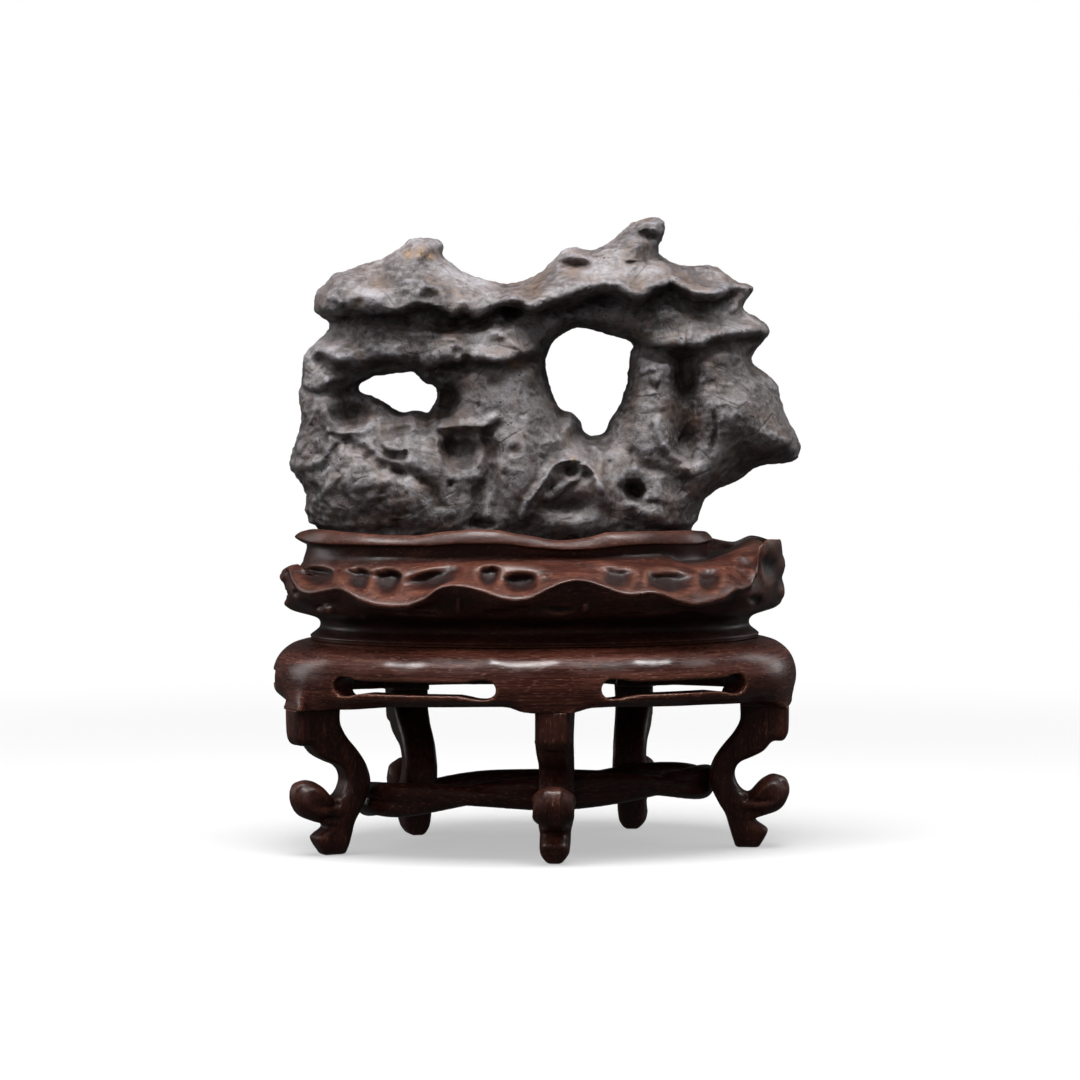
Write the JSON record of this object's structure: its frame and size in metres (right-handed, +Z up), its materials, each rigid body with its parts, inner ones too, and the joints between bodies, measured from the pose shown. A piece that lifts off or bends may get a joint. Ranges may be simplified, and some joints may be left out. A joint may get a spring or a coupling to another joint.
{
  "type": "scholars rock with stand",
  "caption": "Upright dark scholar's rock pierced by windows, resting in a carved ruffled hardwood seat on a slotted oval apron with scroll-footed legs and a twisted stretcher ring.",
  "frame": {"origin": "bottom centre of the bounding box, on the surface that the feet stand on", "axes": "+X along the stone's length, to the right of its front; the front faces -Y; +Z up"},
  "size_m": [0.2412, 0.1756, 0.2827],
  "materials": {
    "rock": "natural dark limestone with a soft wax polish",
    "seat": "carved, waxed dark hardwood",
    "apron": "waxed dark hardwood",
    "stretcher": "carved, waxed dark hardwood",
    "leg_front": "waxed dark hardwood",
    "leg_front_left": "waxed dark hardwood",
    "leg_front_right": "waxed dark hardwood",
    "leg_back_right": "waxed dark hardwood",
    "leg_back_left": "waxed dark hardwood"
  },
  "bodies": {
    "root": {"rock": "rock", "seat": "seat", "apron": "apron", "stretcher": "stretcher", "leg_front": "leg_front", "leg_front_left": "leg_front_left", "leg_front_right": "leg_front_right", "leg_back_right": "leg_back_right", "leg_back_left": "leg_back_left"}
  },
  "joints": []
}
